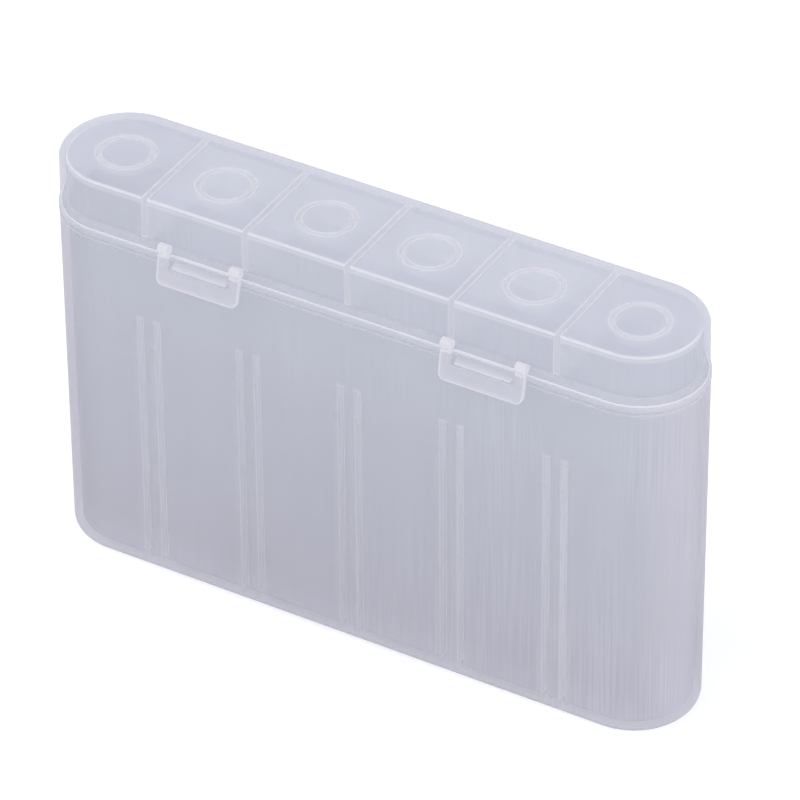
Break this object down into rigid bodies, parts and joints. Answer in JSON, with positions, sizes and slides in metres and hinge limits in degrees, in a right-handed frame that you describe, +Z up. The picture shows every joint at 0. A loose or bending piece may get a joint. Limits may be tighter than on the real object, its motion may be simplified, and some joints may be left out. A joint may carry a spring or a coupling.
{
  "type": "battery storage case",
  "caption": "Slim box with half-round ends for one row of round cells, with a hinged partitioned lid and front latch flaps.",
  "frame": {"origin": "middle of the body's foot, on the table", "axes": "+X along the row of cells, -Y towards the latches, +Z up"},
  "size_m": [0.127, 0.0289, 0.082],
  "materials": {
    "body_plastic": "frosted translucent polypropylene, satin, with fine upright draw lines",
    "lid_plastic": "milky translucent polypropylene, semi-gloss",
    "latch_plastic": "milky translucent polypropylene, whitened at the fold"
  },
  "bodies": {
    "body": {"body": "body_plastic"},
    "lid": {"lid": "lid_plastic"},
    "latch_left": {"latch_left": "latch_plastic"},
    "latch_right": {"latch_right": "latch_plastic"}
  },
  "joints": [
    {"name": "lid_hinge", "type": "hinge", "parent": "body", "child": "lid", "pos_m": [0, 0.01327, 0.0712], "axis": [-1, 0, 0], "range_deg": [0, 160]},
    {"name": "latch_left_hinge", "type": "hinge", "parent": "lid", "child": "latch_left", "pos_m": [-0.0283, -0.01295, 0.0734], "axis": [-1, 0, 0], "range_deg": [0, 110]},
    {"name": "latch_right_hinge", "type": "hinge", "parent": "lid", "child": "latch_right", "pos_m": [0.0283, -0.01295, 0.0734], "axis": [-1, 0, 0], "range_deg": [0, 110]}
  ]
}
